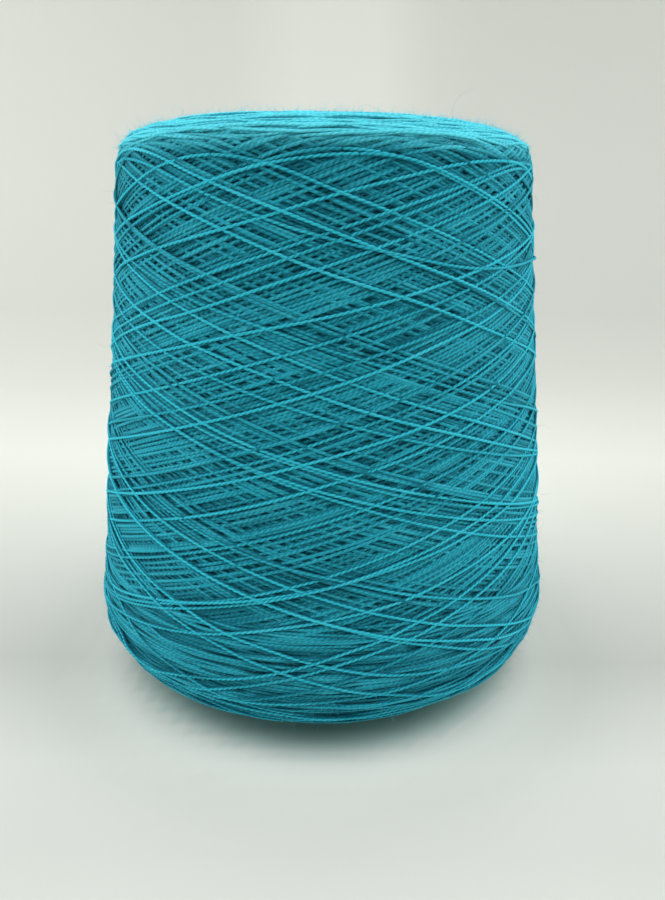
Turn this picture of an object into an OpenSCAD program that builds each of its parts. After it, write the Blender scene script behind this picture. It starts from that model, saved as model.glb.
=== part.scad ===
// Cone of cross-wound two-ply knitting yarn on a paper tube of 5 degrees 57 minutes.
// All lengths are millimetres. The axis is +Z, and the tube's foot stands on z = 0.

/* [Paper tube] */
// Length of the tube along its axis
tube_length = 170; // [160:1:180]
// Outside diameter of the tube at its foot
tube_foot_d = 69; // [66:0.5:74]
// Half angle of the taper, shared by the tube and the yarn on it, in degrees
taper = 5.95; // [4:0.05:6.2]
// Wall thickness of the tube
tube_wall = 2.4; // [1.6:0.1:3]
// Length of the straight land inside the nose
nose_land = 6; // [4:0.5:9]
// Rounding of the two burnished edges of the nose
nose_round = 0.7; // [0.3:0.1:0.7]
// Chamfer on the two edges of the foot
foot_chamfer = 0.5; // [0.2:0.1:0.6]
// Width of the thread notch in the foot, at its mouth
notch_w = 4; // [2:0.5:6]
// Height of the thread notch
notch_h = 6; // [3:0.5:8]

/* [Wound yarn] */
// Largest diameter of the wound yarn, over its outer courses
package_d = 148; // [136:1:160]
// Length of tube left bare below the yarn
foot_bare = 9; // [9:0.5:14]
// Length of tube left bare above the yarn
nose_bare = 3; // [2:0.5:6]
// Reach of the round base edge towards the axis
base_round_r = 14; // [8:0.5:18]
// Height of the round base edge
base_round_h = 16; // [8:0.5:20]
// Reach of the round top shoulder towards the axis
top_round_r = 16; // [8:0.5:18]
// Height of the round top shoulder
top_round_h = 9; // [5:0.5:14]
// Radial pitch of the ridges that the layers leave on both end faces
ridge_pitch = 2.6; // [2:0.2:5]
// Height of those ridges
ridge_h = 0.35; // [0.2:0.05:0.6]
// Gap between the tube and the yarn wound on it
seat_gap = 0.05; // [0.02:0.01:0.2]

/* [Outer courses] */
// Diameter of the two-ply yarn
yarn_d = 0.7; // [0.5:0.05:1.2]
// Double strokes, from base to shoulder and back, in the outer courses
double_strokes = 8; // [2:1:8]
// Whole turns round the package in one double stroke
whole_turns = 2; // [1:1:3]
// How far the courses run round the base edge, in degrees of its arc
base_wrap = 38; // [10:1:60]
// How far the courses run up the top shoulder, in degrees of its arc
top_wrap = 56; // [10:1:70]
// Gap between one layer of yarn and the next
lay_gap = 0.12; // [0.06:0.02:0.4]

/* [Hidden] */
$fn = 96;

// Points on each round edge of a revolved outline, and on each ridge
ARC_STEPS = 10;
RIDGE_STEPS = 4;
// Sides of the yarn, and the turn from one of its rings to the next
YARN_SIDES = 5;
RING_STEP = 9;
// The fraction of a turn that keeps each stroke clear of all earlier ones
GOLDEN_TURN = (3 - sqrt(5)) / 2;
// Shares of a stroke in which the yarn turns back, and changes its layer
TURN_SHARE = 0.06;
CHANGE_SHARE = 0.03;
// Margin by which a cutter runs past what it cuts
OVERCUT = 1;
PAPER = "#b7ab98";
YARN = "#1f7f8f";
YARN_LIT = "#2b93a5";

// Tube: the outside is a plain cone, and the inside runs into a straight land at the nose
tube_foot_r = tube_foot_d / 2;
function tube_r(z) = tube_foot_r - z * tan(taper);
land_r = tube_r(tube_length) - tube_wall;
bore_foot_r = tube_foot_r - tube_wall;
nose_edge = min(nose_round, tube_wall * 0.45);

// Yarn: how far the courses stand off the body that they lie on
yarn_r = yarn_d / 2;
chord_sag = package_d / 2 * (1 - cos(RING_STEP / 2));
layer_rise = yarn_d + lay_gap + chord_sag;
first_lift = yarn_r + lay_gap + chord_sag;
courses_depth = first_lift + layer_rise + yarn_r;

// Body: two elliptical edges joined by the tapered face that touches both
body_r = package_d / 2 - courses_depth;
body_base = foot_bare;
body_top = tube_length - nose_bare;
base_touch_a = atan(base_round_h / base_round_r * tan(taper));
top_touch_a = atan(top_round_h / top_round_r * tan(taper));
function reach(round_r, round_h) = norm([round_r * cos(taper), round_h * sin(taper)]);
base_centre = [body_r - base_round_r, body_base + base_round_h];
face_offset = base_centre[0] * cos(taper) + base_centre[1] * sin(taper)
    + reach(base_round_r, base_round_h);
top_centre_z = body_top - top_round_h;
top_centre = [
    (face_offset - top_centre_z * sin(taper) - reach(top_round_r, top_round_h)) / cos(taper),
    top_centre_z
];

// A point on a round edge: [radius, height, angle of the outward normal]
function edge_point(centre, round_r, round_h, a) = [
    centre[0] + round_r * cos(a),
    centre[1] + round_h * sin(a),
    atan2(sin(a) / round_h, cos(a) / round_r)
];
function base_edge(a) = edge_point(base_centre, base_round_r, base_round_h, a);
function top_edge(a) = edge_point(top_centre, top_round_r, top_round_h, a);
function lerp(a, b, t) = a + (b - a) * t;
function smooth(t) = let (u = max(0, min(1, t))) u * u * (3 - 2 * u);

// Ridges across an end face from radius r0 to r1 at height z, standing out by rise
function ridges(r0, r1, z, rise) =
    let (count = max(1, round(abs(r1 - r0) / ridge_pitch)))
    [for (i = [0 : count * RIDGE_STEPS])
        [lerp(r0, r1, i / (count * RIDGE_STEPS)), z + rise * abs(sin(180 * i / RIDGE_STEPS))]];

// The courses' way over the body: base edge, tapered face, top shoulder, by distance s
base_len = (base_wrap + base_touch_a) * PI / 180 * (base_round_r + base_round_h) / 2;
top_len = (top_wrap - top_touch_a) * PI / 180 * (top_round_r + top_round_h) / 2;
face_start = base_edge(base_touch_a);
face_end = top_edge(top_touch_a);
face_len = norm([face_end[0] - face_start[0], face_end[1] - face_start[1]]);
stroke_len = base_len + face_len + top_len;
function meridian(s) =
    s < base_len ? base_edge(lerp(-base_wrap, base_touch_a, s / base_len)) :
    s > base_len + face_len ?
        top_edge(lerp(top_touch_a, top_wrap, (s - base_len - face_len) / top_len)) :
    lerp(face_start, face_end, (s - base_len) / face_len);

// Height of the yarn guide after t strokes, 0 at the base and 1 at the shoulder, with
// each reversal rounded
function guide(t) =
    let (
        d = abs(t - 2 * round(t / 2)),
        w = TURN_SHARE,
        y = d < w ? d * d / (2 * w) + w / 2 :
            d > 1 - w ? 1 - (1 - d) * (1 - d) / (2 * w) - w / 2 : d
    )
    (y - w / 2) / (1 - w);

// Layer of the yarn after t strokes: 0 on the way up, 1 on the way down
function layer(t) =
    let (p = t - 2 * floor(t / 2), q = p > 1.5 ? p - 2 : p)
    q > 0.5 ? smooth((q - 1 + CHANGE_SHARE) / (2 * CHANGE_SHARE)) :
    1 - smooth((q + CHANGE_SHARE) / (2 * CHANGE_SHARE));

stroke_turns = (whole_turns + GOLDEN_TURN) / 2;
function outward(t) =
    let (n = meridian(stroke_len * guide(t))[2], turn = 360 * stroke_turns * t)
    [cos(n) * cos(turn), cos(n) * sin(turn), sin(n)];
function course_point(t) =
    let (m = meridian(stroke_len * guide(t)), turn = 360 * stroke_turns * t)
    [m[0] * cos(turn), m[0] * sin(turn), m[1]]
    + (first_lift + layer_rise * layer(t)) * outward(t);
function unit(v) = v / norm(v);

// Corners of the yarn's ring after t strokes
function yarn_ring(t) =
    let (
        along = unit(course_point(t + 0.002) - course_point(t - 0.002)),
        side = unit(cross(along, outward(t))),
        up = cross(side, along)
    )
    [for (k = [0 : YARN_SIDES - 1])
        let (a = 360 * k / YARN_SIDES)
        course_point(t) + yarn_r * (sin(a) * side + cos(a) * up)];

module cone_tube() {
    color(PAPER)
    difference() {
        rotate_extrude() polygon(concat(
            [[bore_foot_r + foot_chamfer, 0], [tube_foot_r - foot_chamfer, 0],
             [tube_r(foot_chamfer), foot_chamfer]],
            [for (i = [0 : ARC_STEPS]) let (a = 90 * i / ARC_STEPS)
                [tube_r(tube_length) - nose_edge * (1 - cos(a)),
                 tube_length - nose_edge * (1 - sin(a))]],
            [for (i = [0 : ARC_STEPS]) let (a = 90 * i / ARC_STEPS)
                [land_r + nose_edge * (1 - sin(a)), tube_length - nose_edge * (1 - cos(a))]],
            [[land_r, tube_length - nose_land],
             [bore_foot_r, foot_chamfer]]
        ));
        thread_notch();
    }
}

// V-shaped cut through one side of the foot, which holds the yarn's inner end
module thread_notch() {
    half = notch_w / 2;
    rotate([90, 0, 90])
    linear_extrude(tube_foot_r + OVERCUT)
    polygon([[-half, -OVERCUT], [half, -OVERCUT], [half, 0], [0, notch_h], [-half, 0]]);
}

module yarn_package() {
    seat_base = tube_r(body_base) + seat_gap;
    seat_top = tube_r(body_top) + seat_gap;
    color(YARN)
    rotate_extrude() polygon(concat(
        ridges(seat_base, base_centre[0], body_base, -ridge_h),
        [for (i = [1 : ARC_STEPS])
            let (p = base_edge(lerp(-90, base_touch_a, i / ARC_STEPS))) [p[0], p[1]]],
        [for (i = [0 : ARC_STEPS - 1])
            let (p = top_edge(lerp(top_touch_a, 90, i / ARC_STEPS))) [p[0], p[1]]],
        ridges(top_centre[0], seat_top, body_top, ridge_h)
    ));
}

// The yarn's last double strokes, one unbroken strand that crosses itself
module outer_courses() {
    strokes = 2 * double_strokes - 2 * CHANGE_SHARE;
    rings = ceil(strokes * stroke_turns * 360 / RING_STEP);
    points = [for (i = [0 : rings]) each yarn_ring(CHANGE_SHARE + strokes * i / rings)];
    sides = [for (i = [0 : rings - 1], k = [0 : YARN_SIDES - 1])
        let (a = i * YARN_SIDES + k, b = i * YARN_SIDES + (k + 1) % YARN_SIDES)
        each [[a, b, b + YARN_SIDES], [a, b + YARN_SIDES, a + YARN_SIDES]]];
    first_end = [for (k = [YARN_SIDES - 1 : -1 : 0]) k];
    last_end = [for (k = [0 : YARN_SIDES - 1]) rings * YARN_SIDES + k];
    color(YARN_LIT)
    polyhedron(points, concat(sides, [first_end, last_end]), convexity = 10);
}

cone_tube();
yarn_package();
outer_courses();
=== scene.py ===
"""Looks of the yarn cone: a two-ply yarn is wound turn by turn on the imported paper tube.

Lengths are millimetres until a mesh is made. The winding is laid on a height map over the
turn angle and the way along the package's outline, so each course rests on the ones below.
"""

import math

import bpy
import numpy as np
from mathutils import Matrix, Vector


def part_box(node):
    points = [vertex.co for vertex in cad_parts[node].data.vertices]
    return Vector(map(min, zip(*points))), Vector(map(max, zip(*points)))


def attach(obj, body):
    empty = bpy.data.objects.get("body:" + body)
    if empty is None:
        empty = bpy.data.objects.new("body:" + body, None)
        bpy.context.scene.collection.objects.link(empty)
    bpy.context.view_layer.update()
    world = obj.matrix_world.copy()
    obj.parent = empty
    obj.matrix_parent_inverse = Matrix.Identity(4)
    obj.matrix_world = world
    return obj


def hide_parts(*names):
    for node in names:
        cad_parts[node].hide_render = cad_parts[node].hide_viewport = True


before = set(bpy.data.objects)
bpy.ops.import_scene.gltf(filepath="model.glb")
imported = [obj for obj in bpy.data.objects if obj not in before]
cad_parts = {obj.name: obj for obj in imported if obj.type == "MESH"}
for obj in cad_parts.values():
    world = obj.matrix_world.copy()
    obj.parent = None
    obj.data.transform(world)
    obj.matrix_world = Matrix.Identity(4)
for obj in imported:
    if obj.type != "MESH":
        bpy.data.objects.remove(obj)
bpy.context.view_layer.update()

MM = 0.001
BODY = "root"

# Sizes that the frame gives
package_lo, package_hi = (np.array(v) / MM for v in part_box("yarn_package"))

# Sizes that part.scad names and the boxes don't give
TAPER = math.radians(5.95)
RIDGE_H = 0.35
BASE_ROUND = (14.0, 16.0)
TOP_ROUND = (16.0, 9.0)
BASE_Z = package_lo[2] + RIDGE_H
TOP_Z = package_hi[2] - RIDGE_H
BODY_R = (package_hi[0] - package_lo[0]) / 2
TUBE_FOOT_R = 34.5

# The yarn as it is wound; soft as it is, it is drawn a little thicker where nothing presses it
YARN_D = 0.68
YARN_R = YARN_D / 2
PLY_PITCH = 3.1
# How deep under the outline the winding starts
WIND_INSET = 3.2
SEED = 20

rng = np.random.default_rng(SEED)


# ---------------------------------------------------------------- outline of the package
def tube_r(z):
    return TUBE_FOOT_R - z * math.tan(TAPER)


def arc(centre, size, first, last, count):
    a = np.radians(np.linspace(first, last, count))
    return np.stack([centre[0] + size[0] * np.cos(a), centre[1] + size[1] * np.sin(a)], 1)


ARC_POINTS = 40
WAY_STEP = 0.25
# Points on each side over which the outline's normals are averaged
NORMAL_REACH = 4


def outline():
    """The wound body's outline from the tube's nose, over the shoulder, to the foot."""
    tan, cos, sin = math.tan(TAPER), math.cos(TAPER), math.sin(TAPER)
    base_touch = math.degrees(math.atan(BASE_ROUND[1] / BASE_ROUND[0] * tan))
    top_touch = math.degrees(math.atan(TOP_ROUND[1] / TOP_ROUND[0] * tan))
    base_c = (BODY_R - BASE_ROUND[0], BASE_Z + BASE_ROUND[1])
    offset = base_c[0] * cos + base_c[1] * sin
    offset += math.hypot(BASE_ROUND[0] * cos, BASE_ROUND[1] * sin)
    top_z = TOP_Z - TOP_ROUND[1]
    top_r = (offset - top_z * sin - math.hypot(TOP_ROUND[0] * cos, TOP_ROUND[1] * sin)) / cos
    corners = [
        [[tube_r(TOP_Z) + YARN_R, TOP_Z]],
        arc((top_r, top_z), TOP_ROUND, 90, top_touch, ARC_POINTS),
        arc(base_c, BASE_ROUND, base_touch, -90, ARC_POINTS),
        [[tube_r(BASE_Z) + YARN_R, BASE_Z]],
    ]
    line = np.concatenate(corners)
    way = np.concatenate([[0], np.cumsum(np.linalg.norm(np.diff(line, axis=0), axis=1))])
    step = np.arange(0, way[-1], WAY_STEP)
    line = np.stack([np.interp(step, way, line[:, 0]), np.interp(step, way, line[:, 1])], 1)
    along = np.gradient(line, axis=0)
    along /= np.linalg.norm(along, axis=1)[:, None]
    normal = np.stack([-along[:, 1], along[:, 0]], 1)
    count = 2 * NORMAL_REACH + 1
    kernel = np.ones(count) / count
    for k in (0, 1):
        padded = np.pad(normal[:, k], NORMAL_REACH, mode="edge")
        normal[:, k] = np.convolve(padded, kernel, mode="valid")
    normal /= np.linalg.norm(normal, axis=1)[:, None]
    marks = {
        "shoulder": way[ARC_POINTS],
        "edge": way[ARC_POINTS + 1],
        "base_face": way[2 * ARC_POINTS],
        "end": way[-1],
    }
    return step, line - WIND_INSET * normal, normal, marks


way_m, way_line, way_normal, MARKS = outline()


def on_package(theta, m, h):
    """Points at the angle theta, the way m and the height h over the outline, and normals."""
    r, z = np.interp(m, way_m, way_line[:, 0]), np.interp(m, way_m, way_line[:, 1])
    nr, nz = np.interp(m, way_m, way_normal[:, 0]), np.interp(m, way_m, way_normal[:, 1])
    c, s = np.cos(theta), np.sin(theta)
    p = np.stack([(r + h * nr) * c, (r + h * nr) * s, z + h * nz], 1)
    return p, np.stack([nr * c, nr * s, nz], 1)


# ---------------------------------------------------------------- laying the yarn
# The height map: its cells' length along the outline, and its columns round the turn
CELL = 0.2
MAP_ROWS = int(MARKS["end"] / CELL) + 1
MAP_COLS = 2304
height = np.zeros((MAP_ROWS, MAP_COLS), np.float32)
# Places across a yarn, and how far its round side stands out at them
ACROSS = np.array([-0.8, -0.4, 0.0, 0.4, 0.8]) * YARN_R
CROWN = np.sqrt(YARN_R**2 - ACROSS**2)
# Share of its lower side's roundness that a yarn keeps on other yarn
SQUASH = 0.86
# How much a course bridges hollows rather than pressing into what lies under it
TENSION = 0.25
# Weights of the points along a course by which it evens out what it presses into
YIELD = np.exp(-0.5 * (np.arange(-9, 10) / 3.5) ** 2)
YIELD /= YIELD.sum()
# Least bend round the package, in 1/mm, and the length in which a stroke settles after a turn
MIN_BEND, SETTLE = 0.002, 4.0


def cells(theta, m):
    """Rows and columns of the height map at angles and ways."""
    col = np.floor(theta / (2 * math.pi) * MAP_COLS).astype(int) % MAP_COLS
    row = np.clip(np.rint(m / CELL).astype(int), 0, MAP_ROWS - 1)
    return row, np.broadcast_to(col, row.shape)


def taut(x, floor, bend):
    """Lowest heights over floor that a tight yarn takes, where it can span hollows."""
    slope = np.concatenate([[0], np.cumsum((bend[1:] + bend[:-1]) / 2 * np.diff(x))])
    lift = np.concatenate([[0], np.cumsum((slope[1:] + slope[:-1]) / 2 * np.diff(x))])
    g = (floor - lift).tolist()
    xs = x.tolist()
    hull = []
    for i in range(len(xs)):
        while len(hull) > 1:
            a, b = hull[-2], hull[-1]
            if (g[b] - g[a]) * (xs[i] - xs[a]) > (g[i] - g[a]) * (xs[b] - xs[a]):
                break
            hull.pop()
        hull.append(i)
    return np.interp(x, x[hull], np.array(g)[hull]) + lift


def way_length(theta, m):
    """Lengths along a yarn that goes through the angles and ways."""
    r = np.interp(m, way_m, way_line[:, 0])
    step = np.hypot(np.diff(theta) * (r[1:] + r[:-1]) / 2, np.diff(m))
    return np.concatenate([[0], np.cumsum(step)])


def rest_heights(theta, m, start=None):
    """Heights of the yarn's middle where it comes to rest on what is already wound."""
    row, col = cells(theta[:, None], m[:, None] + ACROSS)
    floor = (height[row, col] + CROWN * SQUASH).max(1)
    if start is not None:
        floor[0] = max(floor[0], start)
    x = way_length(theta, m)
    bend = np.interp(m, way_m, way_normal[:, 0]) / np.interp(m, way_m, way_line[:, 0])
    tight = taut(x, floor, np.maximum(bend, MIN_BEND))
    reach = len(YIELD) // 2
    nested = np.convolve(np.pad(floor, reach, mode="edge"), YIELD, mode="valid")
    h = TENSION * tight + (1 - TENSION) * nested
    if start is not None:
        h += (start - h[0]) * np.exp(-x / SETTLE)
    return h, x


def press_in(theta, m, h, x):
    """Writes the yarn's upper side into the height map."""
    fine = np.arange(0, x[-1], CELL)
    theta, m, h = (np.interp(fine, x, v) for v in (theta, m, h))
    row, col = cells(theta[:, None], m[:, None] + ACROSS)
    top = (h[:, None] + CROWN).astype(np.float32)
    np.maximum.at(height, (row.ravel(), col.ravel()), top.ravel())


# What is laid: angles, ways, heights and lengths along each yarn, and its kind
laid = []


def wobble(x, size, reach):
    """Smooth random swings of about size over distances of about reach."""
    knots = np.arange(-reach, x[-1] + 2 * reach, reach)
    swings = rng.normal(0, size, len(knots))
    at = np.clip(np.searchsorted(knots, x) - 1, 0, len(knots) - 2)
    t = (x - knots[at]) / reach
    t = t * t * (3 - 2 * t)
    return swings[at] * (1 - t) + swings[at + 1] * t


# Turned arcs: how often they cover the way round, and the shares of their length and their drop
ARC_COVER, ARC_LENGTHS, ARC_DROPS = 1.25, (0.8, 1.5), (0.3, 1.2)
# Their swings in mm, over how far, and how deep their ends go under
ARC_SWING, ARC_SWING_REACH, ARC_DIP = 0.25, 9.0, 1.1
# No yarn comes nearer than this to the ends of the outline
END_GAP = 0.2


def lay_arcs(first, last, pitch, reach, layers, drop):
    """Rows of arcs between two ways; drop is how far their ends fall off towards the side."""
    for _ in range(layers):
        spots = []
        for m in np.arange(first, last, pitch):
            r = np.interp(m, way_m, way_line[:, 0])
            count = int(2 * math.pi * r / reach * ARC_COVER)
            spots += [(m, a) for a in rng.uniform(0, 2 * math.pi, count)]
        rng.shuffle(spots)
        for m, angle in spots:
            lay_arc(m + rng.normal(0, pitch / 2), angle, reach * rng.uniform(*ARC_LENGTHS), drop)


def lay_arc(m, angle, reach, drop):
    """One arc of twice the reach, whose ends go under its neighbours."""
    r = np.interp(m, way_m, way_line[:, 0])
    x = np.arange(-reach, reach, 1.0)
    theta = angle + x / r
    away = drop * (x / reach) ** 2 * rng.uniform(*ARC_DROPS)
    away = away if m < MARKS["edge"] else -away
    path = m + away + wobble(x + reach, ARC_SWING, ARC_SWING_REACH)
    path = np.clip(path, END_GAP, MARKS["end"] - END_GAP)
    h, way = rest_heights(theta, path)
    h = h - (x / reach) ** 4 * ARC_DIP
    press_in(theta, path, h, way)
    laid.append((theta, path, h, way, "arc"))


def guide(share, round_first, round_last):
    """Yarn guide's place for a share of a stroke, rounded where it turns back."""
    w, v = round_first, round_last
    y = np.where(share < w, share**2 / (2 * w) + w / 2, share)
    y = np.where(share > 1 - v, 1 - (1 - share) ** 2 / (2 * v) - v / 2, y)
    return (y - w / 2) / (1 - w / 2 - v / 2)


STROKE_POINTS = 440
# Shares of a stroke in which the yarn guide turns back, at the foot and at the nose
FOOT_ROUND, NOSE_ROUND = 0.20, 0.05
# Lengths of a stroke's small and wide swings, and the shares of it in which they fade
WAVER_REACH, SWAY_REACH = 26.0, 110.0
WAVER_FADE, SWAY_FADE = 0.03, 0.12
# Last points of a stroke that the next one doesn't climb on
LATE_POINTS = 14


class Winder:
    """Lays whole strokes one after another, as one unbroken yarn."""

    def __init__(self, angle):
        self.angle = angle
        self.way = FOOT_TURNS[0]
        self.upward = True
        self.end_h = None
        self.late = None

    def turns_to(self, degrees):
        """Turns of a next stroke that ends at an angle, and is as near as can be to the usual."""
        usual = CLOSED_RATIO / 2
        miss = (math.radians(degrees) - self.angle) / (2 * math.pi) - usual
        return usual + miss - round(miss)

    def stroke(self, turns, goal, waver=0.22, sway=0.0, slip=None):
        """One stroke to the way goal, with waver and sway as the sizes of its swings."""
        share = np.linspace(0, 1, STROKE_POINTS)
        theta = self.angle + 2 * math.pi * turns * share
        rounds = (FOOT_ROUND, NOSE_ROUND) if self.upward else (NOSE_ROUND, FOOT_ROUND)
        m = self.way + (goal - self.way) * guide(share, *rounds)
        x = way_length(theta, m)
        near_end = np.minimum(share, 1 - share)
        m = m + wobble(x, waver, WAVER_REACH) * np.clip(near_end / WAVER_FADE, 0, 1)
        m = m + wobble(x, sway, SWAY_REACH) * np.clip(near_end / SWAY_FADE, 0, 1)
        if slip:
            m = m - slip.size * bell(share * turns, slip.at, slip.reach)
        h, x = rest_heights(theta, m, self.end_h)
        if slip:
            h = h + slip.snarl * bell(share * turns, slip.snarl_at, slip.snarl_reach)
        if self.late is not None:
            press_in(*self.late)
        cut = len(x) - LATE_POINTS
        press_in(theta[:cut], m[:cut], h[:cut], x[:cut])
        self.late = (theta[cut - 1:], m[cut - 1:], h[cut - 1:], x[cut - 1:] - x[cut - 1])
        laid.append((theta, m, h, x, "stroke"))
        self.angle = theta[-1] % (2 * math.pi)
        self.way, self.end_h, self.upward = goal, h[-1], not self.upward


def bell(x, middle, reach):
    return np.exp(-(((x - middle) / reach) ** 2))


class Slip:
    """A course that has slipped off its line, with a snarl; places in turns, sizes in mm."""

    at, reach, size = 0.45, 0.16, 29.0
    snarl_at, snarl_reach, snarl = 0.369, 0.005, 1.5


# Turns in a double stroke with which the yarn comes back beside itself after five of them
CLOSED_RATIO = 2.4
# Strokes from the inner to the last but a few, the turns that each pair has over that number,
# and how much they vary
DENSE_STROKES, DENSE_STEP, DENSE_SPREAD = 560, 0.0014, 0.0005
MIDDLE_STROKES, MIDDLE_STEP, MIDDLE_SPREAD = 70, 0.0016, 0.0008
LOOSE_STROKES, LOOSE_STEP, LOOSE_SPREAD = 20, 0.0085, 0.006
# How much the turns of a loose stroke differ from those of the one back, and how much those of
# the last strokes vary
LOOSE_LEAN, LAST_SPREAD = 0.07, 0.02
# Ways where the yarn turns back, at the nose and at the foot: first, last dense and loose courses
NOSE_TURNS = (26.0, 43.0, 46.0)
FOOT_TURNS = (208.0, 196.0, 186.0)
# Power of the share of dense courses by which these ways move from the first to the second
DRIFT = 0.8
# Angles in degrees where the last courses turn back at the nose
LAST_NOSE_ANGLES = (50, 320, 110, 212, 350, 278, 60, 210)


def near(middle, spread):
    return middle + rng.normal(0, spread)


def wind():
    """Lays the end faces, then the strokes from the dense inner to the last loose ones."""
    lay_arcs(0.5, 30, pitch=0.66, reach=17, layers=2, drop=0.0)
    lay_arcs(202, MARKS["end"] - 0.5, pitch=0.66, reach=20, layers=2, drop=0.0)
    winder = Winder(0.0)
    for k in range(DENSE_STROKES // 2):
        share = (2 * k / DENSE_STROKES) ** DRIFT
        ratio = near(CLOSED_RATIO + DENSE_STEP, DENSE_SPREAD)
        nose = near(NOSE_TURNS[0] + (NOSE_TURNS[1] - NOSE_TURNS[0]) * share, 0.6)
        foot = near(FOOT_TURNS[0] + (FOOT_TURNS[1] - FOOT_TURNS[0]) * share, 0.8)
        winder.stroke(ratio / 2, nose, waver=0.1)
        winder.stroke(ratio / 2, foot, waver=0.1)
    for k in range(MIDDLE_STROKES // 2):
        ratio = near(CLOSED_RATIO + MIDDLE_STEP, MIDDLE_SPREAD)
        winder.stroke(ratio / 2, near(NOSE_TURNS[1], 1.0), sway=0.3)
        winder.stroke(ratio / 2, near(FOOT_TURNS[1], 2.0), sway=0.3)
    # Yarn that turned back on the shoulder and on the base
    lay_arcs(22, NOSE_TURNS[1] - 1, pitch=0.7, reach=26, layers=3, drop=1.5)
    for first in (162, 172, 182):
        lay_arcs(first, FOOT_TURNS[1] + 12, pitch=1.1, reach=42, layers=1, drop=1.6)
    for k in range(LOOSE_STROKES // 2):
        ratio = near(CLOSED_RATIO + LOOSE_STEP, LOOSE_SPREAD)
        lean = rng.normal(0, LOOSE_LEAN)
        winder.stroke(ratio / 2 + lean, near(NOSE_TURNS[2], 1.2), sway=1.0)
        winder.stroke(ratio / 2 - lean, near(FOOT_TURNS[2], 4.0), sway=1.0)
    for degrees in LAST_NOSE_ANGLES:
        winder.stroke(winder.turns_to(degrees), near(NOSE_TURNS[2], 0.8), sway=0.6)
        slip = Slip if degrees == LAST_NOSE_ANGLES[-1] else None
        turns = near(CLOSED_RATIO / 2, LAST_SPREAD)
        winder.stroke(turns, near(FOOT_TURNS[2], 4.0), sway=0.6, slip=slip)


wind()


def smoothed(field, reach):
    """The field blurred over reach cells; it closes round the turn and not along the way."""
    rows = len(field)
    folded = np.concatenate([field, field[::-1]])
    wave_m = np.fft.fftfreq(2 * rows)[:, None]
    wave_a = np.fft.rfftfreq(field.shape[1])[None, :]
    keep = np.exp(-2 * (math.pi * reach) ** 2 * (wave_m**2 + wave_a**2))
    return np.fft.irfft2(np.fft.rfft2(folded) * keep, s=folded.shape)[:rows]


# The winding's mean surface: averaged over fewer cells before the side than on it
FACE_BLUR, SIDE_BLUR, SIDE_STARTS = 7.0, 22.0, (44, 54)
# Share of the courses' relief by which the true surface lies over the mean
RELIEF_SHARE = 0.5

near_nose = np.interp(np.arange(MAP_ROWS) * CELL, SIDE_STARTS, (1, 0))[:, None]
surface = near_nose * smoothed(height, FACE_BLUR) + (1 - near_nose) * smoothed(height, SIDE_BLUR)
surface += RELIEF_SHARE * np.sqrt(smoothed((height - surface) ** 2, SIDE_BLUR))

# Depth of yarn added over the outline, at ways along it
COVER_AT = (9, 18, 28, 34, 40, 44, 50, 60,
            MARKS["edge"] + 6, MARKS["edge"] + 14, MARKS["base_face"])
COVERS = (-1.2, -1.0, -0.7, 0.1, 1.0, 1.7, 1.7, 1.5, 1.5, 0.8, -0.2)
# How deep the hollows stay between the courses, as a share of their depth when wound
SUNK = 0.4
# Height over the surface from which yarn is pressed in, how softly that starts, and the most
# that it then stands out further, on the shoulder and on the side
PROUD_FROM, PROUD_SOFT, PROUD = 0.3, 0.8, (0.15, 0.55)


def settled(theta, m, h):
    """Height over the true outline, once what is wound has been pressed to its size."""
    level = h - surface[cells(theta, m)]
    proud = np.interp(m, (MARKS["shoulder"], MARKS["shoulder"] + 10), PROUD)
    pressed = PROUD_FROM + proud * np.tanh((level - PROUD_FROM) / PROUD_SOFT)
    level = np.where(level > PROUD_FROM, pressed, level)
    level = np.where(level < 0, SUNK * level, level)
    cover = np.interp(m, COVER_AT, COVERS)
    return level + WIND_INSET + cover


# ---------------------------------------------------------------- what can be seen of it
# Places beside a yarn where its flank may show
FLANKS = np.array([-1.4, 1.4]) * YARN_R
# Cover that still counts as none over its upper side, hollow that bares its flank, the most
# yarn that may lie over a bare flank, and the points along it that go by their majority
COVER_SLACK, FLANK_HOLLOW, FLANK_COVER, SEEN_POINTS = 0.05, 0.1, 2.2 * YARN_D, 9
# Shortest stretch that is drawn, in points
SHORTEST = 4


def seen(theta, m, h):
    """True where some of the yarn's upper side or flank isn't under later yarn."""
    row, col = cells(theta[:, None], m[:, None] + ACROSS)
    bare = (height[row, col] < h[:, None] + CROWN + COVER_SLACK).any(1)
    row, col = cells(theta[:, None], m[:, None] + FLANKS)
    flank = (height[row, col] < h[:, None] - FLANK_HOLLOW).any(1)
    top = height[cells(theta, m)]
    keep = bare | (flank & (top < h + FLANK_COVER))
    return np.convolve(keep, np.ones(SEEN_POINTS), mode="same") > 0.5


def spans(keep):
    """First and last + 1 of each run of points that is kept."""
    edges = np.flatnonzero(np.diff(np.concatenate([[0], keep.astype(int), [0]])))
    return [(a, b) for a, b in zip(edges[::2], edges[1::2]) if b - a >= SHORTEST]


# ---------------------------------------------------------------- meshes
# Sections of the last courses, whose two plies show as lobes that turn, and of the plain yarn
# of the ground and of the turned arcs
TOP_R, GROUND_R, ARC_R = 0.48, 0.38, 0.34
LOBES = TOP_R * np.array([1.0, 0.88, 0.66, 0.88] * 2)
GROUND, ARC = GROUND_R * np.ones(6), ARC_R * np.ones(6)
# Width over height of yarn that others press on
FLATTENED = 1.25
# Share of its radius with which a stretch of yarn ends
TIP = 0.3

# Shares of the tone, at depths: painted shade, the lower a yarn lies among the others, the darker
DEPTH_SHADE_AT, DEPTH_SHADE = (-1.3, -0.4), (0.43, 1.0)
# At ways along: painted shade on all yarn just below the shoulder
SHOULDER_SHADE_AT, SHOULDER_SHADE, TOP_SHOULDER_SHADE = (41, 45, 49, 57, 90), (1, 0.63, 0.70, 0.90, 1), (1, 0.70, 0.80, 1, 1)
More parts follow.
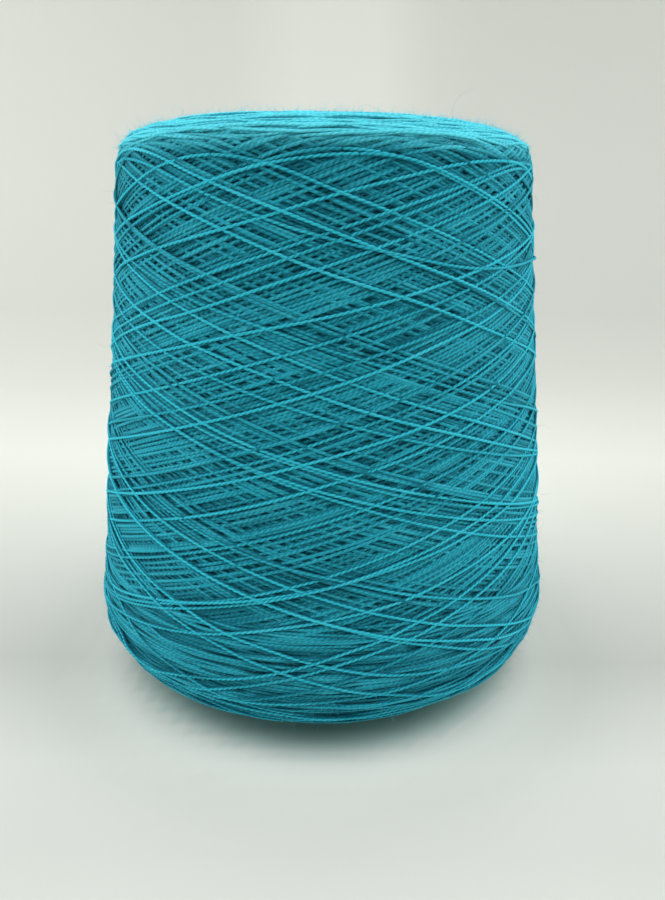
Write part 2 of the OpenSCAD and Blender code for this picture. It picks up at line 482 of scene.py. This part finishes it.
# Share lost by the last courses at ways along: they are darker towards the foot, on the base
BASE_DARK_AT, BASE_DARK = (150, 176), (0, 0.33)
# Share lost by other yarn beside a last course: painted shade
BESIDE_SHADE_SHARE = 0.68
# Share of fuzz and painted light at ways along: fuzz makes the yarn paler on the shoulder, where
# nothing rubs it, and painted light makes the top lighter there as well
PALE_AT, PALE = (16, 22, 42.5, 45.5, 48), (0.2, 0.95, 0.82, 0.06, 0)
# Sizes and lengths of the swings that tone and paleness make along a strand
TONE_SWING, PALE_SWING = (0.1, 25.0), (0.07, 8.0)
# How much whole stretches differ in tone
TONE_SPREAD = 0.2


def strand_rings(part, spacing):
    """Middle points of a stretch of yarn, the normals there, and the lengths along it."""
    theta, m, h, x = part
    fine = np.linspace(0, x[-1] - x[0], max(4, int((x[-1] - x[0]) / spacing)))
    t, w, u = (np.interp(fine + x[0], x, v) for v in (theta, m, h))
    p, n = on_package(t, w, settled(t, w, u))
    return p, n, fine


def add_strand(store, part, spacing, section, tone):
    """Adds the rings of one stretch of yarn to the store, with its turns, its tone and painted
    shade, and its paleness and painted light.
    """
    p, n, x = strand_rings(part, spacing)
    along = np.gradient(p, axis=0)
    along /= np.linalg.norm(along, axis=1)[:, None]
    side = np.cross(along, n)
    side /= np.linalg.norm(side, axis=1)[:, None]
    up = np.cross(side, along)
    is_top = section is LOBES
    count = len(section)
    start = rng.uniform(0, 1)
    turn = x / PLY_PITCH + start
    a = 2 * math.pi * np.arange(count) / count
    twist = 2 * math.pi * turn if is_top else np.zeros(len(x))
    angle = a[None, :] - twist[:, None]
    radius = section[None, :] * np.ones((len(x), 1))
    radius[0] *= TIP
    radius[-1] *= TIP
    flat = 1.0 if is_top else FLATTENED
    upward = np.cos(angle)[..., None] * up[:, None, :]
    sideways = flat * np.sin(angle)[..., None] * side[:, None, :]
    ring = p[:, None, :] + radius[..., None] * (upward + sideways)
    store["rings"].append(ring)
    store["turn"].append(turn)
    angle_at, at, h = (np.interp(x + part[3][0], part[3], v) for v in part[:3])
    spot = cells(angle_at, at)
    # Painted shade: the lower the yarn lies among the others, the darker
    depth_shade = np.interp(h - surface[spot], DEPTH_SHADE_AT, DEPTH_SHADE)
    # The last courses darker towards the foot; other yarn in painted shade beside a last course
    lost = np.interp(at, BASE_DARK_AT, BASE_DARK) if is_top else BESIDE_SHADE_SHARE * shade_beside[spot]
    # Painted shade just below the shoulder
    shoulder_shade = np.interp(at, SHOULDER_SHADE_AT, TOP_SHOULDER_SHADE if is_top else SHOULDER_SHADE)
    store["tone"].append((tone + wobble(x, *TONE_SWING)) * depth_shade * (1 - lost) * shoulder_shade)
    # Paleness: fuzz, and painted light on the shoulder
    store["pale"].append(np.interp(at, PALE_AT, PALE) + wobble(x, *PALE_SWING))


def new_store():
    return {"rings": [], "turn": [], "tone": [], "pale": []}


def strand_uvs(turn, body, sides):
    """For each corner of the quads: turns of the plies along the strand, and the way round it."""
    j = np.arange(sides)
    corner_turn = np.stack([turn[body], turn[body + 1], turn[body + 1], turn[body]], -1)
    corner_side = np.stack([j, j, j + 1, j + 1], -1) / sides
    return np.stack([
        np.repeat(corner_turn[:, None, :], sides, 1).ravel(),
        np.tile(corner_side.ravel(), len(body)),
    ], -1)


def bake_uvs(first, body, sides):
    """For each corner of the quads and then of the end caps: its own place in one square."""
    j = np.arange(sides)
    row_len = int(math.sqrt(len(body) * (sides + 1))) + 1
    place = np.arange(len(body))
    u0, v0 = place % row_len, place // row_len * (sides + 1)
    high = (len(body) // row_len + 1) * (sides + 1)
    quad_u = (u0[:, None, None] + np.array([0, 1, 1, 0]) * np.ones((sides, 1))).ravel()
    quad_v = (v0[:, None, None] + np.stack([j, j, j + 1, j + 1], -1)).ravel()
    # A cap lies beside the first or last quads of its strand
    strand = np.arange(len(first) - 1)
    cap_at = np.concatenate([place[first[:-1] - strand], place[first[1:] - 2 - strand]])
    a = 2 * math.pi * j / sides
    cap_u = (cap_at % row_len)[:, None] + 0.5 + 0.3 * np.cos(a)
    cap_v = (cap_at // row_len * (sides + 1))[:, None] + 0.5 + 0.3 * np.sin(a)
    quads = np.stack([quad_u / row_len, quad_v / high], -1)
    caps = np.stack([(cap_u / row_len).ravel(), (cap_v / high).ravel()], -1)
    return np.concatenate([quads, caps])


def strand_mesh(name, store, sides):
    """One mesh of all strands in the store, each a closed tube."""
    rings = np.concatenate(store["rings"]).reshape(-1, 3) * MM
    lengths = [len(r) for r in store["rings"]]
    first = np.concatenate([[0], np.cumsum(lengths)])
    body = np.concatenate([np.arange(a, a + n - 1) for a, n in zip(first, lengths)])
    j = np.arange(sides)
    k = (j + 1) % sides
    quads = np.stack([
        body[:, None] * sides + j,
        (body[:, None] + 1) * sides + j,
        (body[:, None] + 1) * sides + k,
        body[:, None] * sides + k,
    ], -1).reshape(-1, 4)
    ends = np.concatenate([
        first[:-1, None] * sides + j,
        ((first[1:] - 1)[:, None] * sides + j)[:, ::-1],
    ])
    mesh = bpy.data.meshes.new(name)
    mesh.vertices.add(len(rings))
    mesh.vertices.foreach_set("co", rings.ravel())
    loops = np.concatenate([quads.ravel(), ends.ravel()])
    mesh.loops.add(len(loops))
    mesh.loops.foreach_set("vertex_index", loops)
    sizes = np.concatenate([np.full(len(quads), 4), np.full(len(ends), sides)])
    starts = np.concatenate([[0], np.cumsum(sizes)[:-1]])
    mesh.polygons.add(len(sizes))
    mesh.polygons.foreach_set("loop_start", starts)
    strand_uv = np.zeros((len(loops), 2))
    strand_uv[:quads.size] = strand_uvs(np.concatenate(store["turn"]), body, sides)
    for key, values in (("OFBake", bake_uvs(first, body, sides)), ("Strand", strand_uv)):
        layer = mesh.uv_layers.new(name=key)
        layer.uv.foreach_set("vector", values.ravel())
    for key in ("tone", "pale"):
        if store[key]:
            values = np.repeat(np.concatenate(store[key]), sides)
            mesh.attributes.new(key, "FLOAT", "POINT").data.foreach_set("value", values)
    mesh.polygons.foreach_set("use_smooth", np.ones(len(sizes), bool))
    mesh.update()
    obj = bpy.data.objects.new(name, mesh)
    bpy.context.collection.objects.link(obj)
    return obj


# Triangles of a piece, and those of them that are left for its last strand
MAX_TRIANGLES, LAST_STRAND = 190_000, 12_000


def strand_pieces(name, parts, spacing, section, material, tones=(1.0, 1.0)):
    """Meshes of many strands, split so that each keeps within MAX_TRIANGLES.

    The strands' tone goes from the first of tones to the second, from the oldest to the last.
    """
    sides = len(section)
    store, used, made = new_store(), 0, []
    for part, level in zip(parts, np.linspace(*tones, len(parts))):
        tone = level + rng.normal(0, TONE_SPREAD)
        add_strand(store, part, spacing, section, tone)
        used += (len(store["turn"][-1]) - 1) * sides * 2 + 2 * (sides - 2)
        if used > MAX_TRIANGLES - LAST_STRAND or part is parts[-1]:
            obj = strand_mesh(f"{name}_{len(made) + 1}", store, sides)
            obj.data.materials.append(material)
            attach(obj, BODY)
            made.append(obj)
            store, used = new_store(), 0
    return made


# ---------------------------------------------------------------- materials
def nodes_of(name):
    """A new material, its node tree and its main shader."""
    mat = bpy.data.materials.new(name)
    mat.use_nodes = True
    tree = mat.node_tree
    shader = tree.nodes["Principled BSDF"]
    return mat, tree, shader


def node(tree, kind, inputs=None, **settings):
    """A new node, with each input set to a value or linked to a socket."""
    made = tree.nodes.new(kind)
    for key, value in settings.items():
        setattr(made, key, value)
    for key, value in (inputs or {}).items():
        if isinstance(value, bpy.types.NodeSocket):
            tree.links.new(value, made.inputs[key])
        else:
            made.inputs[key].default_value = value
    return made


def math_node(tree, operation, *values):
    inputs = dict(enumerate(values))
    return node(tree, "ShaderNodeMath", inputs, operation=operation).outputs[0]


def mixed(tree, share, dark, light):
    """Colour between dark and light, by a share that may pass its ends."""
    mix = node(tree, "ShaderNodeMix", {0: share}, data_type="RGBA", clamp_factor=True)
    mix.inputs[6].default_value = (*dark, 1)
    mix.inputs[7].default_value = (*light, 1)
    return mix.outputs[2]


# Colours from the painted shade between the plies to their crests. The last courses and the yarn
# under them are lit and shaded copies of one yarn: painted light on the first, painted shade on
# the second. The pale colours and the shoulder's pale fibres are fuzz with painted light on the
# top
TOP_COLOURS = (0.002, 0.118, 0.18), (0.036, 0.55, 0.70)
DEEP_COLOURS = (0.001, 0.078, 0.118), (0.024, 0.39, 0.51)
PALE_COLOURS = (0.03, 0.40, 0.50), (0.15, 0.86, 1.0)
CORE_COLOURS = (0.001, 0.135, 0.20), (0.010, 0.41, 0.57)
FIBRE_COLOURS = (0.03, 0.36, 0.44), (0.12, 0.60, 0.68)
PALE_FIBRE_COLOURS = (0.06, 0.54, 0.66), (0.28, 0.90, 1.0)
PAPER_COLOURS = (0.36, 0.31, 0.25), (0.60, 0.54, 0.46)
# How much of the yarn's shade its plies and its fibres make, and how much fuzz and painted light
# lighten it
PLY_SHARE, FIBRE_SHARE, FUZZ_AND_LIGHT_LIFT = 0.68, 0.6, 0.15
# Range and least of the shade of wide patches
PATCH_RANGE, PATCH_LEAST = 0.3, 0.85
# From and to which cosine round the strand its shade goes, and from and to which shade
FLANK_SHADE = {1: 0.25, 2: 0.95, 3: 0.20, 4: 1.28}


def yarn_material(name, colours, ply_bump):
    """Two-ply yarn; ply_bump is for a plain round strand, which has no lobes of its own."""
    mat, tree, shader = nodes_of(name)
    strand = node(tree, "ShaderNodeUVMap", uv_map="Strand")
    split = node(tree, "ShaderNodeSeparateXYZ", {0: strand.outputs[0]})
    turn, side = split.outputs[0], split.outputs[1]
    # Two plies, twisted the S way, with painted shade in the groove between them: on a plain round
    # strand the pattern turns, not the mesh
    phase = math_node(tree, "ADD", side, turn) if ply_bump else side
    swing = math_node(tree, "COSINE", math_node(tree, "MULTIPLY", phase, 2 * math.pi))
    ply = math_node(tree, "POWER", math_node(tree, "ABSOLUTE", swing), 0.7)
    # Fibres run with the plies
    stretch = node(tree, "ShaderNodeCombineXYZ", {0: math_node(tree, "MULTIPLY", turn, 0.5),
                                                  1: math_node(tree, "MULTIPLY", phase, 2.0)})
    fibre = node(tree, "ShaderNodeTexNoise", {"Vector": stretch.outputs[0], "Scale": 3.0,
                                              "Detail": 3.0, "Roughness": 0.6})
    tone = node(tree, "ShaderNodeAttribute", attribute_name="tone")
    place = node(tree, "ShaderNodeNewGeometry")
    patch = node(tree, "ShaderNodeTexNoise", {"Vector": place.outputs["Position"], "Scale": 90.0,
                                              "Detail": 2.0})
    # The flanks lie in the shade of the yarn beside them
    upright = side if ply_bump else math_node(tree, "SUBTRACT", side, turn)
    crest = math_node(tree, "COSINE", math_node(tree, "MULTIPLY", upright, 2 * math.pi))
    flank = node(tree, "ShaderNodeMapRange", {0: crest, **FLANK_SHADE})
    # Share of the light colour: by the plies and the fibres, times the strand's tone with its
    # painted shade, wide patches and the flanks' painted shade
    shade = math_node(tree, "MULTIPLY", ply, PLY_SHARE)
    grain = math_node(tree, "MULTIPLY", fibre.outputs[0], FIBRE_SHARE)
    shade = math_node(tree, "ADD", shade, grain)
    shade = math_node(tree, "MULTIPLY", shade, tone.outputs["Fac"])
    wide = math_node(tree, "MULTIPLY_ADD", patch.outputs[0], PATCH_RANGE, PATCH_LEAST)
    shade = math_node(tree, "MULTIPLY", shade, wide)
    shade = math_node(tree, "MULTIPLY", shade, flank.outputs[0])
    # Fuzz and painted light lie over it
    pale = node(tree, "ShaderNodeAttribute", attribute_name="pale")
    shade = math_node(tree, "MULTIPLY_ADD", pale.outputs["Fac"], FUZZ_AND_LIGHT_LIFT, shade)
    over = node(tree, "ShaderNodeMix", {
        0: pale.outputs["Fac"],
        6: mixed(tree, shade, *colours),
        7: mixed(tree, shade, *PALE_COLOURS),
    }, data_type="RGBA", clamp_factor=True)
    tree.links.new(over.outputs[2], shader.inputs["Base Color"])
    fine = math_node(tree, "MULTIPLY", fibre.outputs[0], 0.5)
    relief = math_node(tree, "MULTIPLY_ADD", ply, 1.0 if ply_bump else 0.0, fine)
    bump = node(tree, "ShaderNodeBump", {"Height": relief, "Strength": 0.8, "Distance": 0.00012})
    tree.links.new(bump.outputs[0], shader.inputs["Normal"])
    shader.inputs["Roughness"].default_value = 0.82
    shader.inputs["Specular IOR Level"].default_value = 0.05
    shader.inputs["Sheen Weight"].default_value = 0.5
    shader.inputs["Sheen Roughness"].default_value = 0.45
    shader.inputs["Sheen Tint"].default_value = (0.12, 0.82, 1.0, 1)
    return mat


# Lit and shaded copies of one yarn: the last courses painted lighter, the yarn under them darker
yarn_top = yarn_material("yarn_top_mat", TOP_COLOURS, ply_bump=False)
yarn_deep = yarn_material("yarn_deep_mat", DEEP_COLOURS, ply_bump=True)


def core_material():
    """Plain yarn in the dark between the strands."""
    mat, tree, shader = nodes_of("core_mat")
    place = node(tree, "ShaderNodeNewGeometry")
    grain = node(tree, "ShaderNodeTexNoise", {"Vector": place.outputs["Position"], "Scale": 900.0,
                                              "Detail": 3.0})
    tree.links.new(mixed(tree, grain.outputs[0], *CORE_COLOURS), shader.inputs["Base Color"])
    shader.inputs["Roughness"].default_value = 0.95
    shader.inputs["Specular IOR Level"].default_value = 0.1
    return mat


# ---------------------------------------------------------------- the package's pieces
# How far the core lies under the surface, the height of the steps at its inner edges, and the
# columns and rows of its mesh
CORE_DEPTH, CORE_STEP = 1.2, 0.4
CORE_COLS, CORE_ROWS = 180, 140


def core_piece():
    """Closed body of the inner windings, under the yarn that is laid as strands."""
    step = np.linspace(0, len(way_m) - 1, CORE_ROWS).astype(int)
    rise = WIND_INSET + np.interp(way_m[step], COVER_AT, COVERS) - CORE_DEPTH
    line = way_line[step] + rise[:, None] * way_normal[step]
    inner = line[[-1, 0]] + [[0, CORE_STEP], [0, -CORE_STEP]]
    closed = np.concatenate([line, inner])
    a = np.linspace(0, 2 * math.pi, CORE_COLS, endpoint=False)
    verts = np.stack([
        closed[None, :, 0] * np.cos(a)[:, None],
        closed[None, :, 0] * np.sin(a)[:, None],
        closed[None, :, 1] * np.ones((CORE_COLS, 1)),
    ], -1).reshape(-1, 3) * MM
    n = len(closed)
    faces = []
    for i in range(CORE_COLS):
        b = (i + 1) % CORE_COLS
        for k in range(n):
            c = (k + 1) % n
            faces.append((i * n + k, i * n + c, b * n + c, b * n + k))
    mesh = bpy.data.meshes.new("inner_windings")
    mesh.from_pydata(verts.tolist(), [], faces)
    mesh.polygons.foreach_set("use_smooth", np.ones(len(faces), bool))
    mesh.update()
    obj = bpy.data.objects.new("inner_windings", mesh)
    bpy.context.collection.objects.link(obj)
    obj.data.materials.append(core_material())
    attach(obj, BODY)
    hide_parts("yarn_package")
    return obj


core_piece()
TOP_STROKES = LOOSE_STROKES + 2 * len(LAST_NOSE_ANGLES)
strokes = [s for s in laid if s[4] == "stroke"]
arcs = [s for s in laid if s[4] == "arc"]


def visible_parts(strands):
    """The stretches of the strands that can be seen."""
    parts = []
    for theta, m, h, x, _ in strands:
        for a, b in spans(seen(theta, m, h)):
            parts.append((theta[a:b], m[a:b], h[a:b], x[a:b]))
    return parts


# Distances from the middle of a last course within which other yarn gets painted shade: wholly,
# and down to the least share after them; and the distances across it where this is written
SHADE_BESIDE_FADE, SHADE_BESIDE_END = (0.7, 1.2), 0.1
SHADE_BESIDE_ACROSS = np.arange(-1.2, 1.21, 0.2)
# Map of the painted shade beside the last courses
shade_beside = np.zeros_like(height)
for theta, m, _, x, _ in strokes[-TOP_STROKES:]:
    fine = np.arange(0, x[-1], CELL)
    theta, m = (np.interp(fine, x, v) for v in (theta, m))
    for across in SHADE_BESIDE_ACROSS:
        spot = cells(theta, m + across)
        share = np.interp(abs(across), SHADE_BESIDE_FADE, (1, SHADE_BESIDE_END))
        shade_beside[spot] = np.maximum(shade_beside[spot], share)

top_parts = visible_parts(strokes[-TOP_STROKES:])
deep_parts = visible_parts(strokes[:-TOP_STROKES])
arc_parts = visible_parts(arcs)
# Distances between the rings of the last courses and of the plain yarn
TOP_SPACING, SPACING = 0.42, 2.0
# Tones of the last courses, from the oldest to the newest
TOP_TONES = (0.80, 1.12)
outer = strand_pieces("outer_course", top_parts, TOP_SPACING, LOBES, yarn_top, TOP_TONES)
for piece in outer:
    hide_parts("outer_courses")
strand_pieces("under_course", deep_parts, SPACING, GROUND, yarn_deep)
strand_pieces("turned_arc", arc_parts, SPACING, ARC, yarn_deep)


# ---------------------------------------------------------------- fibre ends
# How deep the fibres' roots lie in the yarn, and how much their lift and heading differ
ROOT_DEPTH, LIFT_SPREAD, HEADING_SPREAD = 0.15, 0.3, 0.5


def hair_curves(count, lengths, lift, curl, first, last, rings=4):
    """Free fibre ends that stand off the surface between two ways, as curves of a few points.

    lengths are the middle length and its spread; lift and curl are angles in radians.
    """
    theta = rng.uniform(0, 2 * math.pi, count)
    m = rng.uniform(first, last, count)
    top = height[cells(theta, m)]
    root, normal = on_package(theta, m, settled(theta, m, top) - ROOT_DEPTH)
    round_way = np.stack([-np.sin(theta), np.cos(theta), np.zeros(count)], 1)
    up_way = np.cross(normal, round_way)
    heading = rng.normal(0, HEADING_SPREAD, count) + np.where(rng.random(count) < 0.5, 0, math.pi)
    flat = np.cos(heading)[:, None] * round_way + np.sin(heading)[:, None] * up_way
    aside = np.cross(normal, flat)
    rise = np.abs(rng.normal(lift, LIFT_SPREAD, count))
    bend = rng.normal(0, curl, (count, 2))
    length = lengths[0] * np.exp(rng.normal(0, lengths[1], count))
    points = []
    for t in np.linspace(0, 1, rings):
        turn = bend[:, 0] * t
        lean = rise + bend[:, 1] * t
        step = (np.cos(turn) * np.cos(lean))[:, None] * flat
        step += (np.sin(turn) * np.cos(lean))[:, None] * aside + np.sin(lean)[:, None] * normal
        points.append(root + step * (length * t)[:, None])
    return np.stack(points, 1)


# A direction that no fibre runs along, and the share of its root's radius that a tip has
ASIDE, HAIR_TIP = np.array([0.31, 0.52, 0.79]), 0.4


def hair_piece(name, curves, radius, material):
    """Thin three-sided tapered tubes along the curves, as one mesh."""
    along = np.gradient(curves, axis=1)
    along /= np.linalg.norm(along, axis=2)[..., None]
    side = np.cross(along, ASIDE)
    side /= np.linalg.norm(side, axis=2)[..., None]
    up = np.cross(side, along)
    store = new_store()
    count = curves.shape[1]
    taper = np.linspace(1, HAIR_TIP, count)[None, :, None]
    rings = np.stack([
        curves + radius * taper * (math.cos(a) * up + math.sin(a) * side)
        for a in (0, 2 * math.pi / 3, 4 * math.pi / 3)
    ], 2)
    for ring in rings:
        store["rings"].append(ring)
        store["turn"].append(np.linspace(0, 1, count))
        store["tone"].append(np.ones(count))
    obj = strand_mesh(name, store, 3)
    obj.data.materials.append(material)
    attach(obj, BODY)
    return obj


def fibre_material(name, colours):
    """Single fibres, a little different in colour from place to place."""
    mat, tree, shader = nodes_of(name)
    place = node(tree, "ShaderNodeNewGeometry")
    patch = node(tree, "ShaderNodeTexNoise", {"Vector": place.outputs["Position"], "Scale": 300.0})
    tree.links.new(mixed(tree, patch.outputs[0], *colours), shader.inputs["Base Color"])
    shader.inputs["Roughness"].default_value = 0.7
    return mat


FUZZ, STRAYS = 9000, 300
# Radii of the fibres on the side, on the shoulder and of the strays, and on the base
FINE_HAIR, HAIR, BASE_HAIR = 0.026, 0.032, 0.036
BASE_EDGE, BASE_FACE = MARKS["edge"], MARKS["base_face"]
fibre_mat = fibre_material("fibre_mat", FIBRE_COLOURS)
for k in range(3):
    fuzz = hair_curves(FUZZ, (1.0, 0.4), lift=0.45, curl=0.7, first=24, last=BASE_FACE + 4)
    hair_piece(f"fuzz_{k + 1}", fuzz, FINE_HAIR, fibre_mat)
# Fibres on the shoulder are paler, partly as fuzz and partly as painted light on the top
pale_fibre_mat = fibre_material("pale_fibre_mat", PALE_FIBRE_COLOURS)
for k in range(2):
    fuzz = hair_curves(FUZZ, (1.6, 0.4), lift=0.22, curl=0.8, first=16, last=44)
    hair_piece(f"shoulder_fuzz_{k + 1}", fuzz, HAIR, pale_fibre_mat)
fuzz = hair_curves(FUZZ, (1.5, 0.4), lift=0.4, curl=0.8, first=BASE_EDGE - 6, last=BASE_FACE + 2)
hair_piece("base_fuzz", fuzz, BASE_HAIR, fibre_mat)
stray = hair_curves(STRAYS, (3.9, 0.35), lift=0.6, curl=1.3, first=22, last=BASE_FACE, rings=9)
hair_piece("stray_fibres", stray, HAIR, fibre_mat)


# ---------------------------------------------------------------- tube
def paper_material():
    """Plain grey-beige paper with a fibrous grain."""
    mat, tree, shader = nodes_of("paper_mat")
    place = node(tree, "ShaderNodeNewGeometry")
    fibre = node(tree, "ShaderNodeTexNoise", {"Vector": place.outputs["Position"], "Scale": 700.0,
                                              "Detail": 5.0, "Roughness": 0.7})
    tree.links.new(mixed(tree, fibre.outputs[0], *PAPER_COLOURS), shader.inputs["Base Color"])
    bump = node(tree, "ShaderNodeBump", {"Height": fibre.outputs[0], "Strength": 0.4,
                                         "Distance": 0.0002})
    tree.links.new(bump.outputs[0], shader.inputs["Normal"])
    shader.inputs["Roughness"].default_value = 0.88
    return mat


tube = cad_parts["cone_tube"]
tube.data.materials.clear()
tube.data.materials.append(paper_material())


# ---------------------------------------------------------------- floor, light, camera
# In metres from here on. Paleness of the sweep at places along it: before the cone, behind it
# and up the wall. It paints light and shade on the sweep: brighter and darker bands, and part of
# the cone's shadow beside it
SWEEP_TONES = ((-0.6, 0.635), (-0.1, 0.675), (-0.07, 0.74), (-0.045, 0.69), (-0.02, 0.60),
               (0.02, 0.66), (0.2, 0.785), (0.4, 0.705), (0.66, 0.64), (1.0, 0.68), (2.0, 0.72))
# At places across it, painting light and shade as well
ACROSS_TONES = ((-0.45, 0.98), (-0.16, 0.91), (-0.05, 1.0), (0.06, 1.0), (0.16, 0.87),
                (0.45, 0.84))
# And at distances from the cone's middle: a painted shadow, darkest where the cone meets the
# floor, and painted light at its edge
ROUND_SHADOW_TONES = ((0.055, 0.42), (0.060, 0.74), (0.0635, 1.14), (0.068, 1.38), (0.073, 1.27),
               (0.080, 1.07), (0.09, 0.98), (0.11, 1.0))
# The floor's hue, and a painted reflection of the cone's colour on it, at distances from the
# middle
PALE_FLOOR, GREEN_BOUNCE = np.array([(0.985, 1.0, 0.93), (0.52, 1.0, 0.88)])
GREEN_BOUNCE_AT = (0.055, 0.067)
# What is seen past the sweep, and where the sweep starts to look like it: to the sides, to the
# front, and over what length
BACKGROUND = (0.72, 0.75, 0.70, 1)
FAR_SIDE, FAR_FRONT, FAR_FADE = 0.65, -0.45, 0.5
# Where the flat part ends, the radius and rows that it bends up with, and the wall's height
FLAT_END, SWEEP_BEND, BEND_ROWS, WALL_TOP = 0.42, 0.5, 23, 2.2
# The sweep's columns and its flat part's rows, close together round the cone
SWEEP_X = np.array((
    -7.0, -3.0, -1.15, -0.9, -0.65, -0.5, -0.3, -0.2, *np.arange(-0.14, 0.1401, 0.005),
    0.2, 0.3, 0.5, 0.65, 0.9, 1.15, 3.0, 7.0,
))
SWEEP_Y = (
    -7.0, -3.0, -0.95, -0.7, -0.45, -0.3, *np.arange(-0.2, 0.2, 0.005), 0.2, 0.3, 0.36, FLAT_END,
)


def sweep_colours(line):
    """Colour at each point of the sweep, with painted light and shadow, and how much it looks like
    what lies past it.
    """
    # Painted light and shade along and across the sweep
    along = np.interp(line[:, 0] + line[:, 1], *zip(*SWEEP_TONES))
    across = np.interp(SWEEP_X, *zip(*ACROSS_TONES))
    from_cone = np.hypot(line[:, 0, None], SWEEP_X[None, :])
    # Painted shadow round the cone, lightened at its edge
    around = np.interp(from_cone, *zip(*ROUND_SHADOW_TONES))
    paleness = along[:, None] * across[None, :] * around
    # Painted reflection of the cone's colour on the floor close to it
    green = np.interp(from_cone, GREEN_BOUNCE_AT, (1, 0))[..., None]
    colour = np.ones((*paleness.shape, 4))
    colour[..., :3] = paleness[..., None] * (PALE_FLOOR + green * (GREEN_BOUNCE - PALE_FLOOR))
    beyond = np.maximum(np.abs(SWEEP_X)[None, :] - FAR_SIDE, FAR_FRONT - line[:, 0, None])
    return colour.ravel(), np.clip(beyond / FAR_FADE, 0, 1).ravel()


def sweep():
    """A pale sheet that lies flat and curves up behind the cone."""
    flat = [(y, 0.0) for y in SWEEP_Y]
    a = np.linspace(0, math.pi / 2, BEND_ROWS + 1)[1:]
    curve = [(FLAT_END + SWEEP_BEND * math.sin(t), SWEEP_BEND * (1 - math.cos(t))) for t in a]
    line = np.array(flat + curve + [(FLAT_END + SWEEP_BEND, WALL_TOP)])
    verts = [(x, y, z) for y, z in line for x in SWEEP_X]
    n = len(SWEEP_X)
    faces = [(n * i + k, n * i + k + 1, n * i + n + k + 1, n * i + n + k)
             for i in range(len(line) - 1) for k in range(n - 1)]
    mesh = bpy.data.meshes.new("sweep")
    mesh.from_pydata(verts, [], faces)
    mesh.polygons.foreach_set("use_smooth", np.ones(len(faces), bool))
    colour, far = sweep_colours(line)
    mesh.attributes.new("paleness", "FLOAT_COLOR", "POINT").data.foreach_set("color", colour)
    mesh.attributes.new("far", "FLOAT", "POINT").data.foreach_set("value", far)
    obj = bpy.data.objects.new("sweep", mesh)
    bpy.context.collection.objects.link(obj)
    mat, tree, shader = nodes_of("sweep_mat")
    pale = node(tree, "ShaderNodeAttribute", attribute_name="paleness")
    tree.links.new(pale.outputs["Color"], shader.inputs["Base Color"])
    shader.inputs["Roughness"].default_value = 0.9
    # Far from the cone it looks as pale as what lies past it
    far = node(tree, "ShaderNodeAttribute", attribute_name="far")
    path = node(tree, "ShaderNodeLightPath")
    share = math_node(tree, "MULTIPLY", far.outputs["Fac"], path.outputs["Is Camera Ray"])
    glow = node(tree, "ShaderNodeEmission", {0: BACKGROUND, 1: 1.0})
    fade = node(tree, "ShaderNodeMixShader", {0: share, 1: shader.outputs[0], 2: glow.outputs[0]})
    out = next(n for n in tree.nodes if n.type == "OUTPUT_MATERIAL")
    tree.links.new(fade.outputs[0], out.inputs[0])
    obj.data.materials.append(mat)
    return obj


sweep()


def lamp(name, place, aim, size, power):
    """A wide soft area lamp."""
    data = bpy.data.lights.new(name, "AREA")
    data.shape = "RECTANGLE"
    data.size, data.size_y = size
    data.energy = power
    obj = bpy.data.objects.new(name, data)
    bpy.context.collection.objects.link(obj)
    obj.location = place
    obj.rotation_euler = (Vector(aim) - Vector(place)).to_track_quat("-Z", "Y").to_euler()
    return obj


# Each lamp's place, what it points at, its size and its power
lamp("overhead", (0.0, 0.0, 0.85), (0, 0, 0.1), (1.0, 0.6), 2.0)
lamp("behind", (0.0, 0.35, 0.85), (0, 0, 0.1), (1.0, 0.5), 1.8)
lamp("front_high", (0.0, -0.40, 0.85), (0, 0, 0.1), (0.7, 0.5), 1.25)
lamp("left_wall", (-1.5, 0.0, 0.62), (0, 0, 0.08), (1.6, 1.2), 16.0)
lamp("right_wall", (1.5, 0.0, 0.62), (0, 0, 0.08), (1.6, 1.2), 16.4)


# Colour and strength of the light from all round
ROOM, ROOM_STRENGTH = (0.95, 1.0, 0.98, 1), 0.40


def studio_world():
    """Dim even light from all round; what the camera sees past the sweep is pale."""
    world = bpy.data.worlds.new("studio")
    bpy.context.scene.world = world
    world.use_nodes = True
    tree = world.node_tree
    back = tree.nodes["Background"]
    back.inputs[0].default_value = ROOM
    back.inputs[1].default_value = ROOM_STRENGTH
    seen_back = node(tree, "ShaderNodeBackground", {0: BACKGROUND, 1: 1.0})
    path = node(tree, "ShaderNodeLightPath")
    mix = node(tree, "ShaderNodeMixShader", {0: path.outputs["Is Camera Ray"],
                                             1: back.outputs[0], 2: seen_back.outputs[0]})
    tree.links.new(mix.outputs[0], tree.nodes["World Output"].inputs[0])


studio_world()


LENS, SENSOR = 29.32, 36
CAMERA_PLACE = (0.00304, -0.2353, 0.1426)
# In degrees
LOOK_DOWN, ROLL = 17.56, 0.60


def camera():
    """Stands a little above the cone's middle and looks down on it, a hair off level."""
    data = bpy.data.cameras.new("camera")
    data.lens = LENS
    data.sensor_width = SENSOR
    data.clip_end = 20
    obj = bpy.data.objects.new("camera", data)
    bpy.context.collection.objects.link(obj)
    tilt = Matrix.Rotation(math.radians(90 - LOOK_DOWN), 4, "X")
    roll = Matrix.Rotation(math.radians(ROLL), 4, "Z")
    obj.matrix_world = Matrix.Translation(CAMERA_PLACE) @ tilt @ roll
    bpy.context.scene.camera = obj


camera()
bpy.context.scene.view_settings.view_transform = "Standard"
